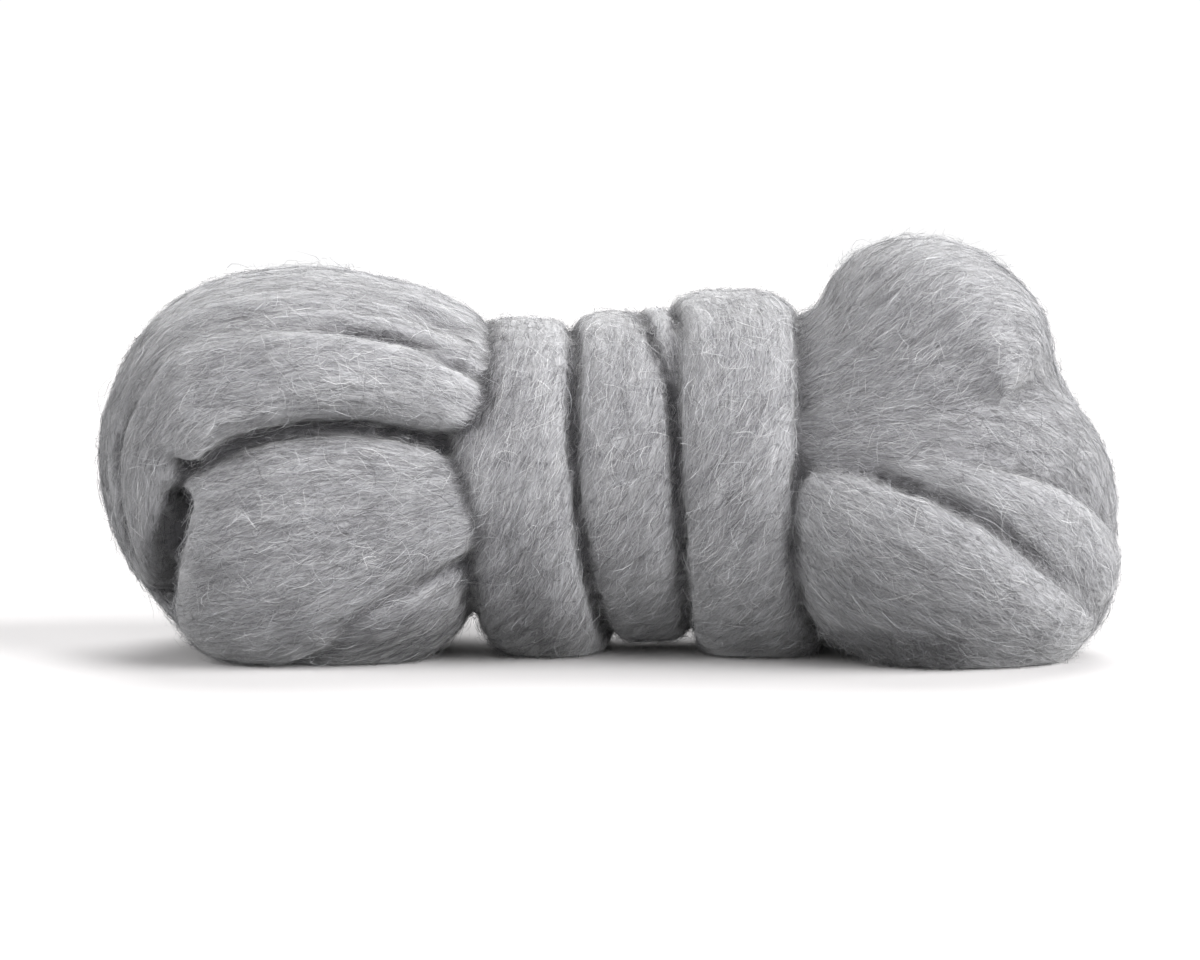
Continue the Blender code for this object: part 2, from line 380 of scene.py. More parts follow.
BAR_APART = 31.0  # so that the bars' finishes differ
FAN = ("right_upper_loop", "right_middle_lobe", "right_outer_loop")  # these lie flush in one fan
# The shadow under the hood's rim is painted on the lobes below it.
HOOD = "left_outer_loop"  # its rim throws a shadow on the lobes under it
LOBE = "right_lower_lobe"  # its fibres spread from the place where the last turn pinches it
skin_points, skin_lines, skin_leans, skin_lays, skin_faces, caps = [], [], [], [], [], []
covering = []  # the faces whose fibres can show, which is every stretch but the core
bar_of, in_fan, in_hood, in_lobe = [], [], [], []  # for each covering face
made = 0
bars = {
    name: (stretch, rounded([(*section, 0.0) for section in stretch.sections]))
    for name, stretch in STRETCHES.items()
}
bars["wound_end"] = (Stretch(AXIS_HUB, FLAT, [], []), wound_rows())
for name, (stretch, rows) in bars.items():
    points, lines, lay = skin_of(stretch, rows)
    rings = made + np.arange(points.shape[0] * POINTS_ROUND).reshape(-1, POINTS_ROUND)
    beside = np.roll(rings, -1, axis=1)
    quads = np.stack([rings[:-1], rings[1:], beside[1:], beside[:-1]], axis=-1).reshape(-1, 4)
    skin_faces += quads.tolist()
    caps += [rings[0].tolist(), rings[-1][::-1].tolist()]
    if name != "core":
        covering += np.vstack([quads[:, [0, 1, 2]], quads[:, [0, 2, 3]]]).tolist()
        bar_of += [len(caps)] * (2 * len(quads))
        in_fan += [float(name in FAN)] * (2 * len(quads))
        in_lobe += [float(name == LOBE)] * (2 * len(quads))
        in_hood += [float(name == HOOD)] * (2 * len(quads))
    skin_points.append(points.reshape(-1, 3))
    skin_lines.append(lines.reshape(-1, 3))
    skin_leans.append(np.repeat(rows[:, 5], POINTS_ROUND))
    skin_lays.append(np.insert(lay.reshape(-1, 2), 2, len(caps) * BAR_APART, axis=1))
    made += points.shape[0] * POINTS_ROUND
skin_points, skin_lines = np.vstack(skin_points), np.vstack(skin_lines)
skin_leans, skin_lays = np.concatenate(skin_leans), np.vstack(skin_lays)

# The bars are fused into one skin by a voxel remesh, which is then flattened where it lies.
loose = bpy.data.meshes.new("bars")
loose.from_pydata((skin_points * MM).tolist(), [], skin_faces + caps)
bundle = bpy.data.objects.new("bars", loose)
bpy.context.scene.collection.objects.link(bundle)
fuse = bundle.modifiers.new("fuse", "REMESH")
fuse.mode = "VOXEL"
fuse.voxel_size = FUSE_CELL * MM
soften = bundle.modifiers.new("soften", "SMOOTH")
soften.factor = 0.5
soften.iterations = 1
fused = bundle.evaluated_get(bpy.context.evaluated_depsgraph_get()).to_mesh()
places = np.zeros(len(fused.vertices) * 3)
fused.vertices.foreach_get("co", places)
places = places.reshape(-1, 3) / MM
faces = np.array([p.vertices[:] for p in fused.polygons])
bpy.data.objects.remove(bundle)
places[:, 2] = np.maximum(places[:, 2], LYING)

# Each point of the body takes the fibres' direction from the nearest stretch.
bar_tree = BVHTree.FromPolygons(skin_points.tolist(), covering, all_triangles=True)
nearest = np.array([bar_tree.find_nearest(Vector(p))[2] for p in places])
corners = np.array(covering)[nearest]
bar_of = np.array(bar_of)[nearest]
in_fan, in_lobe = np.array(in_fan)[nearest], np.array(in_lobe)[nearest]
in_hood = np.array(in_hood)[nearest]
away = np.linalg.norm(skin_points[corners] - places[:, None], axis=-1) + 0.01  # never 0
share = (1 / away) / (1 / away).sum(axis=1, keepdims=True)
line = (skin_lines[corners] * share[..., None]).sum(axis=1)
lay = (skin_lays[corners] * share[..., None]).sum(axis=1)
lean = np.radians((skin_leans[corners] * share).sum(axis=1))


def outward_at(places, faces):
    """The skin's outward direction at each of its points."""
    across = places[faces[:, 2]] - places[faces[:, 0]]
    down = places[faces[:, 3]] - places[faces[:, 1]]
    normal = np.cross(across, down)
    total = np.zeros_like(places)
    for corner in range(4):
        np.add.at(total, faces[:, corner], normal)
    return unit(total)


edges = np.vstack([faces[:, [i, (i + 1) % 4]] for i in range(4)])
links = np.zeros(len(places))
np.add.at(links, edges.ravel(), 1)


def evened(values, times):
    """Values that are averaged with their neighbours' this many times."""
    for _ in range(times):
        total = np.zeros_like(values)
        np.add.at(total, edges[:, 0], values[edges[:, 1]])
        np.add.at(total, edges[:, 1], values[edges[:, 0]])
        values = 0.5 * values + 0.5 * total / (links[:, None] if values.ndim > 1 else links)
    return values


# The fan's stretches are evened into each other, most of all at the bend of the upper loop.
FAN_EDGE_TIMES = 4
FAN_SMOOTHED, FLUSH_TIMES = 0.8, 12
fan = evened(in_fan, FAN_EDGE_TIMES)
places = places + FAN_SMOOTHED * fan[:, None] * (evened(places, FLUSH_TIMES) - places)
BEND, BEND_REACH = np.array([98.0, -14.0, 64.0]), 13.0
BEND_STRENGTH, BEND_TIMES = 1.3, 60
blend = np.exp(-(((places - BEND) ** 2).sum(axis=1, keepdims=True) / BEND_REACH**2))
blend = np.minimum(blend * BEND_STRENGTH, 1.0)
places = places + blend * (evened(places, BEND_TIMES) - places)
line = line + blend * (evened(line, BEND_TIMES) - line)

# The fibres' direction turns softly from one stretch to the next where they lie flush.
HOLLOW_TIMES = 34  # of evening, to see how hollow a place is
FLUSH_UNDER = 0.5
out = outward_at(places, faces)
hollow = ((evened(places, HOLLOW_TIMES) - places) * out).sum(axis=1)
flush = np.clip(1 - hollow / FLUSH_UNDER, 0, 1)
line = line + flush[:, None] * (evened(line, FLUSH_TIMES) - line)
line = unit(line - out * (line * out).sum(axis=1, keepdims=True))

# The lower lobe's fibres spread from the pinch, and less so further away from it.
PINCH, PINCH_REACH = np.array([44.0, -32.0, 48.0]), 55.0
PINCH_NEAR, PINCH_MOST, PINCH_STRENGTH = 1.4, 0.9, 2
spread = places - PINCH
far = np.linalg.norm(spread, axis=1, keepdims=True)
spread = unit(spread - out * (spread * out).sum(axis=1, keepdims=True))
pinched = np.clip(PINCH_NEAR - far / PINCH_REACH, 0, PINCH_MOST)
line = unit(line + in_lobe[:, None] * pinched * PINCH_STRENGTH * spread)
line = line * np.cos(lean)[:, None] + np.cross(line, out) * np.sin(lean)[:, None]

# The hood's end stands off the lobe under it and leaves a dark pit there, along a line.
PIT_TOP, PIT_FOOT = np.array([-97.0, -24.0, 37.0]), np.array([-102.5, -22.0, 12.0])
PIT_RADIUS, PIT_DEEP = 3.4, 11.0
PIT_WAY = np.array([0.25, 1.0, 0.0])  # in which it is pressed
PIT_BEHIND = -8.0  # of the y of any wool that is pressed in
# How much the pit adds to the hollowness: it presses the pit in further and paints shade in it.
PIT_SHADED = 0.25
pit_line = PIT_FOOT - PIT_TOP
share = np.clip(((places - PIT_TOP) @ pit_line) / (pit_line**2).sum(), 0, 1)
off = places - (PIT_TOP + share[:, None] * pit_line)
away = np.hypot(off[:, 0], off[:, 2]) / PIT_RADIUS
pressed = np.where(places[:, 1] < PIT_BEHIND, PIT_DEEP * np.exp(-away * away), 0)
places = places + PIT_WAY * pressed[:, None]

# The creases are pressed in a little more, by how hollow each place is, both broadly and narrowly.
CREASE_TIMES = 5  # of evening, to see how sharp a crease is
DEEPENED, CREASED = 0.7, 3.5  # for the broad and the narrow hollows
FAN_DEEPENED = 0.25  # as a share of the others
SWELLS_MOST, PRESSED_MOST = 0.4, 4.5
crease = ((evened(places, CREASE_TIMES) - places) * out).sum(axis=1)
hollow = hollow + pressed * PIT_SHADED
hollow = hollow * (1 - (1 - FAN_DEEPENED) * fan)
crease = crease * (1 - (1 - FAN_DEEPENED) * fan)
deeper = np.clip(DEEPENED * hollow + CREASED * crease, -SWELLS_MOST, PRESSED_MOST)
places = places - out * deeper[:, None]
out = outward_at(places, faces)

# Painted shade: the wool is made darker in the hollows and creases, under the hood's rim, and low
# down, most of all under the middle. Soft patches of painted shade, and some of painted light, too.
CREASE_SHADED = 8.0
HOOD_SHADOW, HOOD_SHADOW_TIMES = 6.5, 36
LOW_SHADOW, LOW_HIGH = 0.2, 16.0
MIDDLE_SHADOW, MIDDLE_X, MIDDLE_WIDE = 3.2, -30.0, 30.0
# A patch of painted shade, or of painted light where it is negative: its middle, its reach, how
# dark.
PaintedPatch = namedtuple("PaintedPatch", "middle reach dark")
PAINTED_SHADE_AND_LIGHT = [
    PaintedPatch((-20.0, -36.0, 18.0), 18.0, 1.0),
    PaintedPatch((24.0, -40.0, 40.0), 12.0, 0.8),
    PaintedPatch((6.0, -36.0, 48.0), 11.0, 0.45),
    PaintedPatch((-85.0, -34.0, 55.0), 22.0, 0.6),
    PaintedPatch((-42.0, -32.0, 6.0), 13.0, 1.2),
    PaintedPatch((64.0, -26.0, 2.0), 9.0, 1.5),
    PaintedPatch((76.0, -34.0, 20.0), 14.0, -0.5),
    PaintedPatch((34.0, -36.0, 13.0), 10.0, -0.5),
    PaintedPatch((78.0, -28.0, 79.0), 14.0, -0.5),
    PaintedPatch((100.0, -22.0, 40.0), 12.0, 0.5),
    PaintedPatch((79.0, -38.0, 30.5), 4.0, 0.9),
]
dark = hollow + CREASE_SHADED * crease
dark += HOOD_SHADOW * evened(in_hood, HOOD_SHADOW_TIMES) * (1 - in_hood)
for patch in PAINTED_SHADE_AND_LIGHT:
    off = (places - patch.middle) / patch.reach
    dark += patch.dark * np.exp(-(off * off).sum(axis=1))
low = np.clip(1 - places[:, 2] / LOW_HIGH, 0, 1)
under = np.exp(-(((places[:, 0] - MIDDLE_X) / MIDDLE_WIDE) ** 2))
dark += low * (LOW_SHADOW + MIDDLE_SHADOW * under)
dark += blend[:, 0] * (evened(dark, BEND_TIMES) - dark)

# Combing draws the wool out into strands: random values are spread along the fibres, and the
# ridges that they make are raised a little.
COMBED_TIMES = 13
COMBED_STEP = 1.3  # in cells of the body
STRAND_RAISED, STRAND_MOST = 0.09, 2.5
chance = np.random.default_rng(7)
skin_tree = BVHTree.FromPolygons(places.tolist(), faces.tolist())


def neighbour(side):
    """The point of the body that lies one step along the fibres from each point."""
    found = []
    for place in places + side * line * FUSE_CELL * COMBED_STEP:
        hit, _, index, _ = skin_tree.find_nearest(Vector(place))
        four = faces[index]
        found.append(four[np.argmin(((places[four] - np.array(hit)) ** 2).sum(axis=1))])
    return np.array(found)


ahead, behind = neighbour(1), neighbour(-1)
strand = chance.normal(size=len(places))
for _ in range(COMBED_TIMES):
    strand = (strand + strand[ahead] + strand[behind]) / 3
strand = np.clip((strand - strand.mean()) / strand.std(), -STRAND_MOST, STRAND_MOST)
places = places + out * (STRAND_RAISED * strand)[:, None]
places[:, 2] = np.maximum(places[:, 2], LYING)


def new_mesh(name, places, faces, smooth=True):
    """A mesh object of these points, in millimetres, and of faces that are all of one kind."""
    mesh = bpy.data.meshes.new(name)
    mesh.vertices.add(len(places))
    mesh.vertices.foreach_set("co", (places * MM).ravel())
    mesh.loops.add(faces.size)
    mesh.loops.foreach_set("vertex_index", faces.ravel().astype(np.int32))
    mesh.polygons.add(len(faces))
    starts = np.arange(len(faces), dtype=np.int32) * faces.shape[1]
    mesh.polygons.foreach_set("loop_start", starts)
    mesh.update(calc_edges=True)
    mesh.validate()
    piece = bpy.data.objects.new(name, mesh)
    bpy.context.scene.collection.objects.link(piece)
    if smooth:
        mesh.shade_smooth()
    return piece


body = new_mesh("wool_body", places, faces)
held = body.data.attributes.new("strand", "FLOAT", "POINT")
held.data.foreach_set("value", strand)
# The attribute hollow carries the painted shade to the body's finish.
held = body.data.attributes.new("hollow", "FLOAT", "POINT")
held.data.foreach_set("value", dark)
held = body.data.attributes.new("lay", "FLOAT_VECTOR", "POINT")
held.data.foreach_set("vector", lay.ravel())


class Socket:
    """A value on its way through a material's nodes. Sums on it become Math nodes."""

    def __init__(self, tree, socket=None):
        self.tree, self.socket = tree, socket

    def node(self, kind, settings, values, out=0):
        """A new node of a kind, with its settings and then its sockets' values or links."""
        made = self.tree.nodes.new(kind)
        for name, setting in settings.items():
            if name == "stops":
                while len(made.color_ramp.elements) < len(setting):
                    made.color_ramp.elements.new(0.5)
                for stop, (at, colour) in zip(made.color_ramp.elements, setting):
                    stop.position, stop.color = at, (*colour, 1.0)
            else:
                setattr(made, name, setting)
        for name, value in values.items():
            if isinstance(value, Socket):
                self.tree.links.new(value.socket, made.inputs[name])
            else:
                made.inputs[name].default_value = value
        return Socket(self.tree, made.outputs[out] if made.outputs else None)

    def sum(self, operation, first, second):
        return self.node("ShaderNodeMath", {"operation": operation}, {0: first, 1: second})

    def __add__(self, other):
        return self.sum("ADD", self, other)

    __radd__ = __add__

    def __mul__(self, other):
        return self.sum("MULTIPLY", self, other)

    __rmul__ = __mul__

    def __sub__(self, other):
        return self.sum("SUBTRACT", self, other)

    def __rsub__(self, other):
        return self.sum("SUBTRACT", other, self)


def fresh_finish(name):
    """A new material, and the start of its nodes."""
    material = bpy.data.materials.new(name)
    material.use_nodes = True
    tree = material.node_tree
    tree.nodes.clear()
    return material, Socket(tree)


WOOL_SHINE, WOOL_SHEEN_SPREAD = 0.25, 0.5


def finish_wool(start, colour, roughness, sheen, normal=None):
    """Ends a material's nodes as dull wool that catches light at its edges."""
    values = {
        "Base Color": colour,
        "Roughness": roughness,
        "Specular IOR Level": WOOL_SHINE,
        "Sheen Weight": sheen,
        "Sheen Roughness": WOOL_SHEEN_SPREAD,
    }
    if normal:
        values["Normal"] = normal
    shader = start.node("ShaderNodeBsdfPrincipled", {}, values)
    start.node("ShaderNodeOutputMaterial", {}, {"Surface": shader})


# The imported wool shows between the fibres as fine streaks: straight ones and two sets that cross.
# The body's greys are darker than the fibres', partly as painted shade in the gaps between them.
UNDER_DARK, UNDER_LIGHT = (0.13, 0.129, 0.138), (0.50, 0.498, 0.515)
STRAIGHT_SHARE, CROSSING_SHARE = 0.55, 0.45
STREAK_MIDDLE, STREAK_CONTRAST = 0.53, 3.2
STRAND_LIGHTER, PAINTED_SHADE_DARKER = 0.05, 0.15
PACKED_ROUGH, PACKED_ROUGHER = 0.75, 0.2
PACKED_SHEEN, STREAK_HIGH = 1.0, 0.15
packed, start = fresh_finish("packed_wool")
lay = start.node("ShaderNodeAttribute", {"attribute_name": "lay"}, {}, out="Vector")
strands = start.node("ShaderNodeAttribute", {"attribute_name": "strand"}, {}, out="Fac")
painted_shades = start.node("ShaderNodeAttribute", {"attribute_name": "hollow"}, {}, out="Fac")


def streaks(slant, length, fine):
    """Streaks of the fibres, at a slant to the combed direction."""
    run = start.node("ShaderNodeSeparateXYZ", {}, {"Vector": lay}, out="X")
    which = start.node("ShaderNodeSeparateXYZ", {}, {"Vector": lay}, out="Y")
    bar = start.node("ShaderNodeSeparateXYZ", {}, {"Vector": lay}, out="Z")
    across = (which + run * slant) * fine
    depth = bar + slant * 40  # so that the sets differ
    spot = {"X": run * (1 / length), "Y": across, "Z": depth}
    place = start.node("ShaderNodeCombineXYZ", {}, spot)
    values = {"Vector": place, "Scale": 1.0, "Detail": 3.0, "Distortion": 0.25}
    return start.node("ShaderNodeTexNoise", {}, values)


straight = streaks(0.0, 6.0, 3.0)
rising, falling = streaks(0.35, 3.0, 2.8), streaks(-0.42, 3.0, 2.8)
crossing = start.node("ShaderNodeMath", {"operation": "MAXIMUM"}, {0: rising, 1: falling})
streak = straight * STRAIGHT_SHARE + crossing * CROSSING_SHARE
light = (streak - STREAK_MIDDLE) * STREAK_CONTRAST + 0.5
# Painted shade: the body is darker where its painted shade is.
light = light + strands * STRAND_LIGHTER - painted_shades * PAINTED_SHADE_DARKER
greys = {"stops": [(0.0, UNDER_DARK), (1.0, UNDER_LIGHT)]}
colour = start.node("ShaderNodeValToRGB", greys, {"Fac": light})
rough = streak * PACKED_ROUGHER + PACKED_ROUGH
raised = {"Strength": 1.0, "Distance": STREAK_HIGH * MM, "Height": streak}
relief = start.node("ShaderNodeBump", {}, raised)
finish_wool(start, colour, rough, PACKED_SHEEN, relief)
body.data.materials.append(packed)
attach(body, "root")
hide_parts("roving_hank")

# ---- The combed fibres ----
# The stretches of fine wool fibre that show on the rope's skin, of 7 to 11 mm each. They lie along
# the rope, the lower layers straight and darker, the upper ones lighter and more disordered.
FIBRE_STEPS = 4  # of the walk over the skin
COLUMNS = 64  # of the finish, one for each shade of fibre
out = outward_at(places, faces)
skin_tree = BVHTree.FromPolygons(places.tolist(), faces.tolist())
face_lines = [Vector(v) for v in unit(line[faces].mean(axis=1))]
face_strands = strand[faces].mean(axis=1)
LIGHTEST_SHADE, DARKEST_SHADE = -1.0, 3.5
face_painted_shades = np.clip(dark[faces].mean(axis=1), LIGHTEST_SHADE, DARKEST_SHADE)
face_bars = bar_of[faces[:, 0]].tolist()
face_creases = hollow[faces].mean(axis=1).tolist()
one = places[faces]
area = np.linalg.norm(np.cross(one[:, 2] - one[:, 0], one[:, 3] - one[:, 1]), axis=1)
# Little of the wool that presses on the floor can be seen.
PRESSED_HIGH, PRESSED_SHARE = 0.2, 0.1
area *= np.where(one[..., 2].max(axis=1) < LYING + PRESSED_HIGH, PRESSED_SHARE, 1.0)

# A layer of fibres: how many there are, of how many points, their length and width, how far over
# they are rolled in radians, how low the lowest lies over the skin and how much higher the others
# do, how free their ends are, the share of them that is orderly, how many degrees the orderly and
# the wild ones stray, how far they bend, their shade, and how much it varies.
Layer = namedtuple(
    "Layer",
    "name count points length wide rolled low high free orderly spread wild bend shade vary",
)
LAYERS = [
    Layer("lowest_fibres", 11000, 5, 11, 0.11, 0.5, 0.02, 0.08, 0, 0.92, 6, 25, 0.4, 0.36, 0.15),
    Layer("lower_fibres", 32500, 5, 9, 0.08, 0.7, 0.06, 0.12, 0, 0.85, 12, 40, 0.8, 0.41, 0.15),
    Layer("upper_fibres", 32500, 5, 8, 0.076, 0.9, 0.12, 0.25, 0.3, 0.75, 17, 50, 1, 0.45, 0.16),
    Layer("topmost_fibres", 32500, 5, 7.5, 0.08, 1.1, 0.2, 0.5, 1, 0.6, 22, 65, 1.1, 0.49, 0.15),
]
MOST_LIFT = 1.8
TUCKED_DEEP, TUCKED_ROUND = 0.12, 0.7  # how far in the ends are tucked, and how blunt the arch is
LENGTHS, WIDTHS = (0.75, 1.2), (0.7, 1.3)  # from the shortest to the longest, and so on
SHADED = 0.14  # how much painted shade darkens a fibre, for each step of painted shade at its place
STRAND_SHADED = 0.04  # how much lighter a fibre on a raised strand is
CREASE_FROM = 0.35  # the hollow in which a fibre ends where two stretches meet
ENDS_BEFORE, DIVES = 0.45, 0.5  # how long before the crease that is, and how steeply it dives


def strewn(count, often):
    """Places strewn over the skin: the faces that they are on, and their points."""
    chosen = chance.choice(len(faces), count, p=often / often.sum())
    weights = chance.dirichlet((1, 1, 1, 1), count)
    return chosen, (places[faces[chosen]] * weights[..., None]).sum(axis=1)


def walked(starts, turns, length, crossing=False):
    """Fibres laid over the skin: their points, the outward directions, and where each one ends.

    Only a crossing fibre goes over a crease to the next stretch. The others dive into the crease.
    """
    count = len(starts)
    half = FIBRE_STEPS // 2
    spots = np.zeros((count, FIBRE_STEPS + 1, 3))
    outs = np.zeros_like(spots)
    ends = np.tile([0.0, FIBRE_STEPS], (count, 1))
    for fibre in range(count):
        pace = length[fibre] / FIBRE_STEPS
        first, up, index, _ = skin_tree.find_nearest(Vector(starts[fibre]))
        cosine, sine = math.cos(turns[fibre]), math.sin(turns[fibre])
        spots[fibre, half], outs[fibre, half] = first, up
        bar = face_bars[index]
        for side in (1, -1):
            here, over, place = first, up, index
            heading = None
            inside = True
            for step in range(1, half + 1):
                if inside:
                    way = face_lines[place]
                    way = way * cosine + over.cross(way) * sine
                    if heading is None:
                        way = way * side
                    elif way.dot(heading) < 0:
                        way = -way
                    heading = way
                    there, above, place, _ = skin_tree.find_nearest(here + way * pace)
                    creased = face_bars[place] != bar and face_creases[place] > CREASE_FROM
                    if creased and not crossing:
                        inside = False
                        ends[fibre, (side + 1) // 2] = half + side * (step - ENDS_BEFORE)
                        there, above = here + (way - over * DIVES) * pace, over
                else:
                    there = here + (way - over) * pace
                here, over = there, above
                spots[fibre, half + side * step], outs[fibre, half + side * step] = here, over
    return spots, unit(outs), ends


def resampled(rows, ends, points):
    """Fibres of this many points between their ends, on smooth curves through the walked ones."""
    before, after = 2 * rows[:, :1] - rows[:, 1:2], 2 * rows[:, -1:] - rows[:, -2:-1]
    known = np.concatenate([before, rows, after], 1)
    at = ends[:, :1] + (ends[:, 1:] - ends[:, :1]) * np.linspace(0, 1, points)
    cell = np.minimum(at.astype(int), rows.shape[1] - 2)
    t = (at - cell)[..., None]
    a, b, c, d = (np.take_along_axis(known, (cell + i)[..., None], axis=1) for i in range(4))
    bend = a - 2.5 * b + 2 * c - 0.5 * d
    twist = 0.5 * (3 * (b - c) + d - a)
    return b + t * (0.5 * (c - a) + t * (bend + t * twist))


TILTED = 0.42  # how unevenly the light falls on them
TAPERED = 0.5
OVER_FLOOR = 0.05
COLUMN_FILLED = 0.4  # to each side of the middle of its column of the finish


def fibre_piece(name, spots, outs, wide, roll, shade):
    """A mesh of thin fibres that taper to their ends, each in the column for its shade."""
    count, points = spots.shape[:2]
    along = unit(np.gradient(spots, axis=1))
    beside = unit(np.cross(along, outs))
    upright = np.cross(beside, along)
    beside = beside * np.cos(roll)[:, None, None] + upright * np.sin(roll)[:, None, None]
    # Each fibre is a point, pairs of points at its sides, and a point.
    row = np.repeat(np.arange(points), [1] + [2] * (points - 2) + [1])
    side = np.array([0.0] + [-1.0, 1.0] * (points - 2) + [0.0])
    t = row / (points - 1)
    half = wide[:, None] / 2 * (side * (1 - TAPERED * np.abs(2 * t - 1)))[None]
    places = spots[:, row] + beside[:, row] * half[..., None]
    places[..., 2] = np.maximum(places[..., 2], OVER_FLOOR)
    last = len(row) - 1
    one = [(0, 1, 2), (last - 2, last - 1, last)]
    for left in range(1, last - 2, 2):
        one += [(left, left + 1, left + 3), (left, left + 3, left + 2)]
    faces = (np.arange(count)[:, None, None] * len(row) + np.array(one)[None]).reshape(-1, 3)
    places, up = places.reshape(-1, 3), outs[:, row]
    corner = places[faces]
    facing = np.cross(corner[:, 1] - corner[:, 0], corner[:, 2] - corner[:, 0])
    turned = (facing * up.reshape(-1, 3)[faces[:, 0]]).sum(axis=1) < 0
    faces[turned] = faces[turned][:, ::-1]
    piece = new_mesh(name, places, faces)
    # Light falls on a fibre as on the soft mass that it lies in.
    tilted = unit(up + chance.normal(size=(count, 1, 3)) * TILTED)
    piece.data.normals_split_custom_set_from_vertices(tilted.reshape(-1, 3).tolist())
    column = np.clip((shade * COLUMNS).astype(int), 0, COLUMNS - 1)
    u = (column[:, None] + side * COLUMN_FILLED + 0.5) / COLUMNS
    uv = np.stack([u, np.broadcast_to(t[None], u.shape)], axis=-1).reshape(-1, 2)
    layer = piece.data.uv_layers.new(name="OFBake")
    layer.data.foreach_set("uv", uv[faces.ravel()].ravel().astype(np.float32))
    return piece


ARC_MIDDLE, CRIMP_MIDDLE = 0.4, 0.6  # keep a bent fibre about its own line


def raised(spots, outs, lift, bend):
    """Fibres lifted off the skin and bent to a side, in arcs and some of them both ways."""
    count, points = lift.shape
    t = np.linspace(-1, 1, points)[None]
    arc = (t * t - ARC_MIDDLE) * chance.normal(size=(count, 1)) * bend
    sway = arc + (t**3 - CRIMP_MIDDLE * t) * chance.normal(size=(count, 1)) * bend
    beside = unit(np.cross(np.gradient(spots, axis=1), outs))
    return spots + outs * lift[..., None] + beside * sway[..., None]


# The greys of the mixed fibres, some cooler and some warmer.
FIBRE_STOPS = [
    (0.0, (0.060, 0.059, 0.067)),
    (0.32, (0.265, 0.258, 0.268)),
    (0.42, (0.355, 0.356, 0.384)),
    (0.50, (0.425, 0.420, 0.432)),
    (0.62, (0.545, 0.550, 0.575)),
    (0.80, (0.740, 0.735, 0.742)),
    (1.0, (0.930, 0.935, 0.950)),
]
FIBRE_ROUGH, FIBRE_ROUGHER, FIBRE_SHEEN = 0.75, 0.1, 0.45
fibre_wool, start = fresh_finish("fibre_wool")
spot = start.node("ShaderNodeUVMap", {"uv_map": "OFBake"}, {})
across = start.node("ShaderNodeSeparateXYZ", {}, {"Vector": spot})
column = start.node("ShaderNodeMath", {"operation": "FLOOR"}, {0: across * COLUMNS})
column = column * (1 / COLUMNS)
colour = start.node("ShaderNodeValToRGB", {"stops": FIBRE_STOPS}, {"Fac": column})
finish_wool(start, colour, FIBRE_ROUGH + column * FIBRE_ROUGHER, FIBRE_SHEEN)

for layer in LAYERS:
    chosen, starts = strewn(layer.count, area)
    spread = np.where(chance.random(layer.count) < layer.orderly, layer.spread, layer.wild)
    turns = np.radians(chance.normal(size=layer.count) * spread)
    length = layer.length * chance.uniform(*LENGTHS, layer.count)
    spots, outs, ends = walked(starts, turns, length)
    spots = resampled(spots, ends, layer.points)
    outs = unit(resampled(outs, ends, layer.points))
    # The ends tuck in under the other fibres, unless they are free.
    t = np.linspace(0, 1, layer.points)
    high = np.minimum(layer.low + chance.exponential(layer.high, (layer.count, 1)), MOST_LIFT)
    tucked = np.sin(math.pi * t)[None] ** TUCKED_ROUND
    free = chance.uniform(0, layer.free, (layer.count, 2))
    held = tucked + (1 - tucked) * (free[:, :1] * (1 - t) + free[:, 1:] * t)
    spots = raised(spots, outs, high * held - TUCKED_DEEP * (1 - held), layer.bend)
    shade = layer.shade + layer.vary * chance.normal(size=layer.count)
    # Painted shade: fibres are darker where the body under them is painted darker.
    shade += STRAND_SHADED * face_strands[chosen] - SHADED * face_painted_shades[chosen]
    wide = layer.wide * chance.uniform(*WIDTHS, layer.count)
    roll = chance.uniform(-layer.rolled, layer.rolled, layer.count)
    fibres = fibre_piece(layer.name, spots, outs, wide, roll, shade)
    fibres.data.materials.append(fibre_wool)
    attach(fibres, "root")
    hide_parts("roving_hank")

# ---- The loose fibres ----
# Fine ends and small arches of wool that combing leaves standing off the rope all over. They make
# the hank's soft outline, and a few long ones cross its creases.

# A kind of loose fibre, described as the layers are, with its shortest, longest and highest ones.
Fuzz = namedtuple(
    "Fuzz", "name count points shortest longest low high most wild bend wide shade vary"
)
FUZZES = [
    Fuzz("short_fuzz", 43500, 4, 2.5, 6.5, 0.40, 1.0, 4.0, 65, 0.8, 0.070, 0.36, 0.13),
    Fuzz("loose_fibres", 3800, 7, 7.0, 16.0, 0.5, 1.0, 5.5, 45, 2.0, 0.085, 0.48, 0.15),
]
FUZZ_ROLLED = 1.5  # radians, to each side
ARCHED_SHARE, ARCHED_HIGH = 0.4, 0.8  # of the fuzz that has both ends in the wool
ROOTED_DEEP = 0.1
FUZZ_SHADED = 0.5  # painted shade, as a share of that on the combed fibres
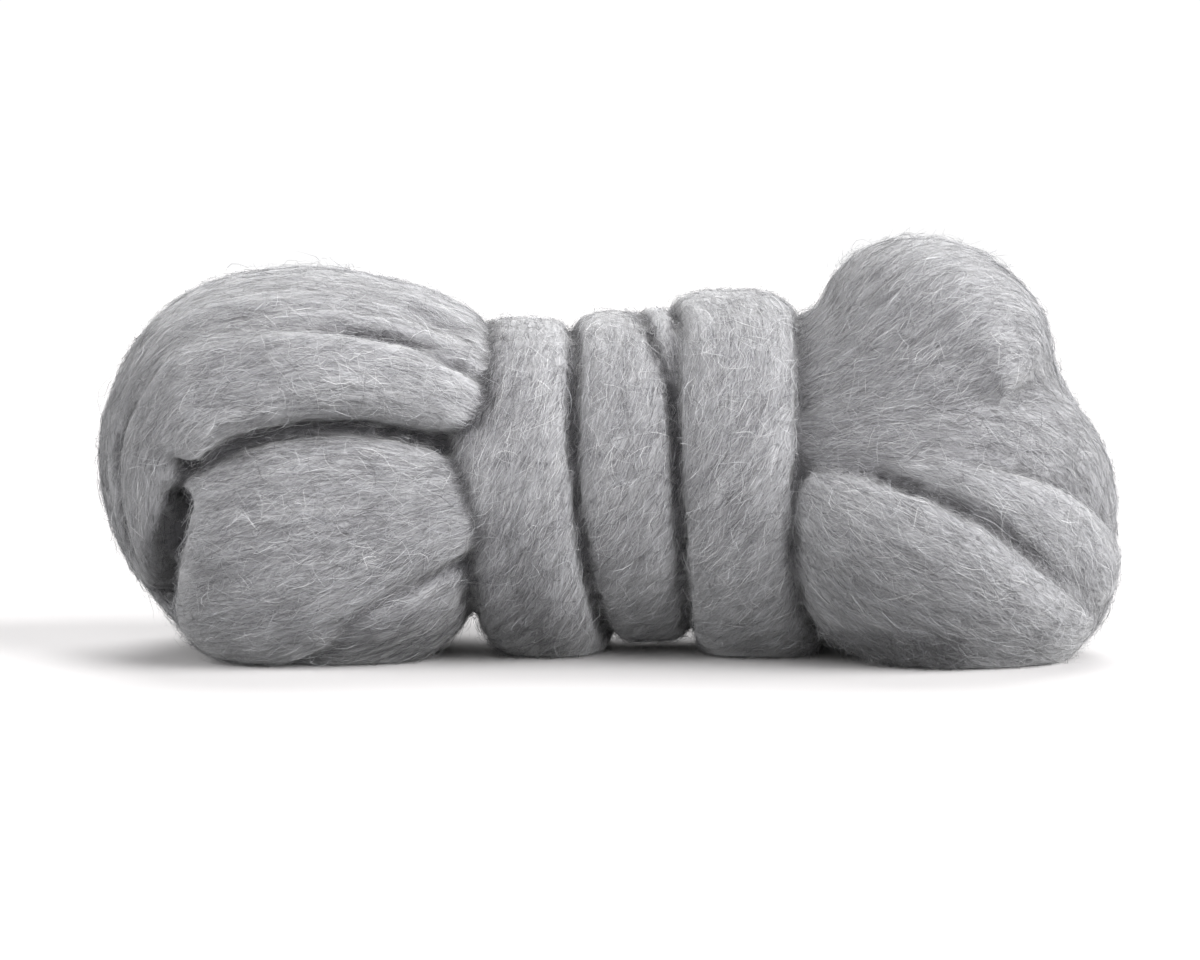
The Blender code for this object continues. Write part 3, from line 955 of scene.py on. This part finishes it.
# More of them hang down where the last turn and the bulb meet on the floor, with painted shade.
TOUSLED_X, TOUSLED_HALF, TOUSLED_HIGH, TOUSLED_BEHIND = 62, 18, 9, -8
TOUSLED_OFTEN, TOUSLED_PAINTED_SHADE = 9.0, 0.14
middle = one.mean(axis=1)
tousled = np.abs(middle[:, 0] - TOUSLED_X) < TOUSLED_HALF
tousled &= (middle[:, 2] < TOUSLED_HIGH) & (middle[:, 1] < TOUSLED_BEHIND)
often = area * np.where(tousled, TOUSLED_OFTEN, 1.0)
for fuzz in FUZZES:
    chosen, starts = strewn(fuzz.count, often)
    turns = np.radians(chance.normal(size=fuzz.count) * fuzz.wild)
    length = chance.uniform(fuzz.shortest, fuzz.longest, fuzz.count)
    spots, outs, ends = walked(starts, turns, length, crossing=True)
    spots = resampled(spots, ends, fuzz.points)
    outs = unit(resampled(outs, ends, fuzz.points))
    t = np.linspace(0, 1, fuzz.points)
    tall = np.minimum(fuzz.low + chance.exponential(fuzz.high, (fuzz.count, 1)), fuzz.most)
    arch = np.sin(math.pi * t)[None] * tall * ARCHED_HIGH
    free = t[None] * tall
    arched = chance.random((fuzz.count, 1)) < ARCHED_SHARE
    spots = raised(spots, outs, np.where(arched, arch, free) - ROOTED_DEEP, fuzz.bend)
    shade = fuzz.shade + fuzz.vary * chance.normal(size=fuzz.count)
    # Painted shade: fuzz is darker there and where the wool under it is painted darker.
    shade -= TOUSLED_PAINTED_SHADE * tousled[chosen] + FUZZ_SHADED * SHADED * face_painted_shades[chosen]
    wide = fuzz.wide * chance.uniform(*WIDTHS, fuzz.count)
    roll = chance.uniform(-FUZZ_ROLLED, FUZZ_ROLLED, fuzz.count)
    piece = fibre_piece(fuzz.name, spots, outs, wide, roll, shade)
    piece.data.materials.append(fibre_wool)
    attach(piece, "root")
    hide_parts("roving_hank")

# ---- The white floor ----
# A plain sweep of white paper under the hank. The camera sees it pale, but it throws little light
# up under the wool.
FLOOR_HALF = 6.0  # metres
PAPER_SEEN, PAPER_LIT = (0.80, 0.785, 0.785, 1.0), (0.14, 0.14, 0.14, 1.0)
square = np.array([(-1, -1, 0), (1, -1, 0), (1, 1, 0), (-1, 1, 0)])
floor = new_mesh("floor", square * FLOOR_HALF / MM, np.array([[0, 1, 2, 3]]), smooth=False)
white, start = fresh_finish("white_paper")
seen = start.node("ShaderNodeLightPath", {}, {}, out="Is Camera Ray")
pale = start.node("ShaderNodeBsdfDiffuse", {}, {"Color": PAPER_SEEN})
dim = start.node("ShaderNodeBsdfDiffuse", {}, {"Color": PAPER_LIT})
shader = start.node("ShaderNodeMixShader", {}, {0: seen, 1: dim, 2: pale})
start.node("ShaderNodeOutputMaterial", {}, {"Surface": shader})
floor.data.materials.append(white)

# ---- The studio light ----
# Large softboxes at the right, at the left and above from behind, and a pale card in front. The
# backdrop is white to the camera and gives next to no light.
BACKDROP, AMBIENT = 1.0, 0.04
world = bpy.data.worlds.new("studio")
bpy.context.scene.world = world
world.use_nodes = True
world.node_tree.nodes.clear()
start = Socket(world.node_tree)
seen = start.node("ShaderNodeLightPath", {}, {}, out="Is Camera Ray")
strength = seen * BACKDROP + AMBIENT
white = {"Color": (1, 1, 1, 1), "Strength": strength}
background = start.node("ShaderNodeBackground", {}, white)
start.node("ShaderNodeOutputWorld", {}, {"Surface": background})
# A lamp: its name, the way it shines from, its strength and how many degrees wide it is.
for name, way, energy, size in (
    ("right_softbox", (0.87, -0.38, 0.43), 5.15, 50),
    ("left_softbox", (-0.90, -0.30, 0.38), 1.8, 50),
    ("top_softbox", (0.10, 0.60, 0.80), 2.65, 50),
    ("front_card", (0.0, -1.0, 0.25), 1.2, 50),
):
    lamp = bpy.data.lights.new(name, "SUN")
    lamp.energy = energy
    lamp.angle = math.radians(size)
    softbox = bpy.data.objects.new(name, lamp)
    softbox.rotation_euler = Vector(way).to_track_quat("Z", "Y").to_euler()
    bpy.context.scene.collection.objects.link(softbox)

# ---- The camera ----
# It sees the hank from the front and a little from above, through a long lens.
LENS, SENSOR = 100.0, 36.0
PIXELS_WIDE, PIXELS_HIGH = 1200, 960
STANDS_X, STANDS_Y = 606, 650  # the pixel that the middle of the hank's underside is at
MM_A_PIXEL = 0.235
DOWN = math.radians(4.5)
back = Vector((0.0, -math.cos(DOWN), math.sin(DOWN)))
up = Vector((0.0, math.sin(DOWN), math.cos(DOWN)))
target = Vector((PIXELS_WIDE / 2 - STANDS_X, 0, 0)) * MM_A_PIXEL * MM
target += up * (STANDS_Y - PIXELS_HIGH / 2) * MM_A_PIXEL * MM
eye = bpy.data.cameras.new("camera")
eye.lens, eye.sensor_width = LENS, SENSOR
camera = bpy.data.objects.new("camera", eye)
camera.location = target + back * (PIXELS_WIDE * MM_A_PIXEL * MM * LENS / SENSOR)
camera.rotation_euler = back.to_track_quat("Z", "Y").to_euler()
bpy.context.scene.collection.objects.link(camera)
bpy.context.scene.camera = camera
bpy.context.scene.view_settings.view_transform = "Standard"
